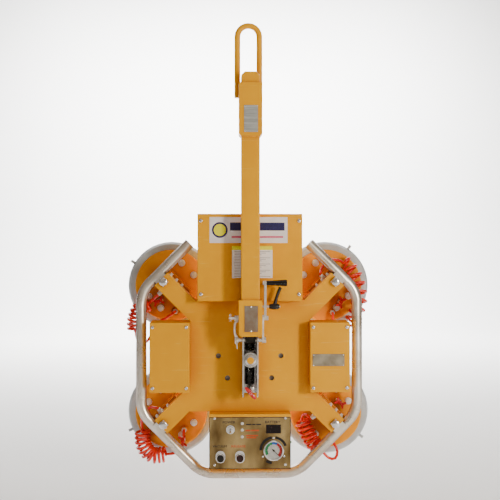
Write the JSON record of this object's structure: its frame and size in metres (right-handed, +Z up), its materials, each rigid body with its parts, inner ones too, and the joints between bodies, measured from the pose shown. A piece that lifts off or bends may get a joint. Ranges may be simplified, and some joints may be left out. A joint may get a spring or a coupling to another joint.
{
  "type": "battery vacuum lifter",
  "caption": "Hoist-hung vacuum lifter: a beam with a bail, a tilting and swivelling head, a pad frame with suction cups, boxes, gauge and a tubular guard.",
  "frame": {"origin": "the crown of the bail, on the beam's middle line, where the hoist hook bears", "axes": "+Z up along the beam, +Y the way the suction cups face, -Y towards the operator, +X to the operator's right"},
  "size_m": [0.703, 0.2493, 1.2611],
  "materials": {
    "yellow_paint": "gloss powder coat",
    "zinc_steel": "zinc plated",
    "guard_steel": "polished stainless tube",
    "black_steel": "satin black",
    "black_plastic": "moulded",
    "red_plastic": "dipped vinyl",
    "dark_red_plastic": "moulded",
    "red_hose": "extruded polyurethane",
    "grey_rubber": "moulded",
    "panel_steel": "brushed",
    "chrome_trim": "bright",
    "dark_window": "polished",
    "gauge_glass": "clear"
  },
  "bodies": {
    "beam": {"bail": "yellow_paint", "lifting_beam": "yellow_paint", "head_sleeve": "yellow_paint", "foot_sleeve": "yellow_paint", "beam_tongue": "black_steel", "tilt_pin": "zinc_steel", "tilt_pin_collar": "zinc_steel", "safety_link_left": "zinc_steel", "safety_link_right": "zinc_steel", "lock_nut": "zinc_steel"},
    "crank": {"lock_screw": "zinc_steel", "crank_arm": "zinc_steel", "grip_spindle": "zinc_steel"},
    "swivel_head": {"swivel_channel": "zinc_steel", "swivel_bolt": "zinc_steel", "swivel_washer": "zinc_steel", "swivel_nut": "zinc_steel"},
    "pad_frame": {"spreader_frame": "yellow_paint", "upper_box": "yellow_paint", "upper_box_lid": "yellow_paint", "left_box": "yellow_paint", "left_box_lid": "yellow_paint", "right_box": "yellow_paint", "right_box_lid": "yellow_paint", "control_box": "yellow_paint", "cup_plate_ul": "yellow_paint", "cup_plate_ur": "yellow_paint", "cup_plate_ll": "yellow_paint", "cup_plate_lr": "yellow_paint", "guard_bolt_ul": "zinc_steel", "guard_bolt_ur": "zinc_steel", "guard_bolt_ll": "zinc_steel", "guard_bolt_lr": "zinc_steel", "guard_tube": "guard_steel", "vacuum_pump": "black_steel", "vacuum_tank": "black_steel", "battery": "black_plastic", "coil_hose_ul": "red_hose", "coil_hose_ur": "red_hose", "coil_hose_ll": "red_hose", "coil_hose_lr": "red_hose", "suction_pad_ul": "grey_rubber", "suction_pad_ur": "grey_rubber", "suction_pad_ll": "grey_rubber", "suction_pad_lr": "grey_rubber", "control_panel": "panel_steel", "gauge_case": "chrome_trim", "vacuum_button_barrel": "chrome_trim", "release_button_barrel": "chrome_trim", "power_switch": "chrome_trim", "battery_display": "dark_window", "gauge_glass": "gauge_glass"},
    "crank_grip": {"crank_grip": "black_plastic"},
    "clamp_lever": {"clamp_lever": "black_plastic"},
    "index_plunger": {"index_plunger": "zinc_steel"},
    "release_lever": {"release_lever": "red_plastic"},
    "gauge_needle": {"gauge_needle": "black_plastic"},
    "vacuum_button": {"vacuum_button": "black_plastic"},
    "release_button": {"release_button": "dark_red_plastic"},
    "power_toggle": {"power_toggle": "chrome_trim"}
  },
  "joints": [
    {"name": "tilt", "type": "hinge", "parent": "beam", "child": "swivel_head", "pos_m": [0, -0.0333, -0.8455], "axis": [1, 0, 0], "range_deg": [-90, 0]},
    {"name": "swivel", "type": "hinge", "parent": "swivel_head", "child": "pad_frame", "pos_m": [0, 0.045, -0.898], "axis": [0, 1, 0], "range_deg": [-90, 90]},
    {"name": "crank_turn", "type": "hinge", "parent": "beam", "child": "crank", "pos_m": [0, -0.045, -0.786], "axis": [1, 0, 0], "range_deg": [0, 150]},
    {"name": "grip_spin", "type": "hinge", "parent": "crank", "child": "crank_grip", "pos_m": [0.068, -0.045, -0.692], "axis": [1, 0, 0], "continuous": true},
    {"name": "clamp_turn", "type": "hinge", "parent": "beam", "child": "clamp_lever", "pos_m": [0.04, -0.02, -0.7565], "axis": [1, 0, 0], "range_deg": [0, 75]},
    {"name": "plunger_slide", "type": "slide", "parent": "swivel_head", "child": "index_plunger", "axis": [0, 1, 0], "range_m": [0, 0.01]},
    {"name": "release_turn", "type": "hinge", "parent": "index_plunger", "child": "release_lever", "pos_m": [0, -0.058, -0.985], "axis": [0, 1, 0], "range_deg": [-60, 90]},
    {"name": "needle_turn", "type": "hinge", "parent": "pad_frame", "child": "gauge_needle", "pos_m": [0.0645, 0.001, -1.1513], "axis": [0, 1, 0], "range_deg": [-270, 0]},
    {"name": "vacuum_press", "type": "slide", "parent": "pad_frame", "child": "vacuum_button", "axis": [0, 1, 0], "range_m": [0, 0.004], "stiffness_N_per_m": 400},
    {"name": "release_press", "type": "slide", "parent": "pad_frame", "child": "release_button", "axis": [0, 1, 0], "range_m": [0, 0.004], "stiffness_N_per_m": 400},
    {"name": "toggle_flick", "type": "hinge", "parent": "pad_frame", "child": "power_toggle", "pos_m": [-0.0535, -0.0029, -1.0938], "axis": [1, 0, 0], "range_deg": [-24, 0]}
  ]
}
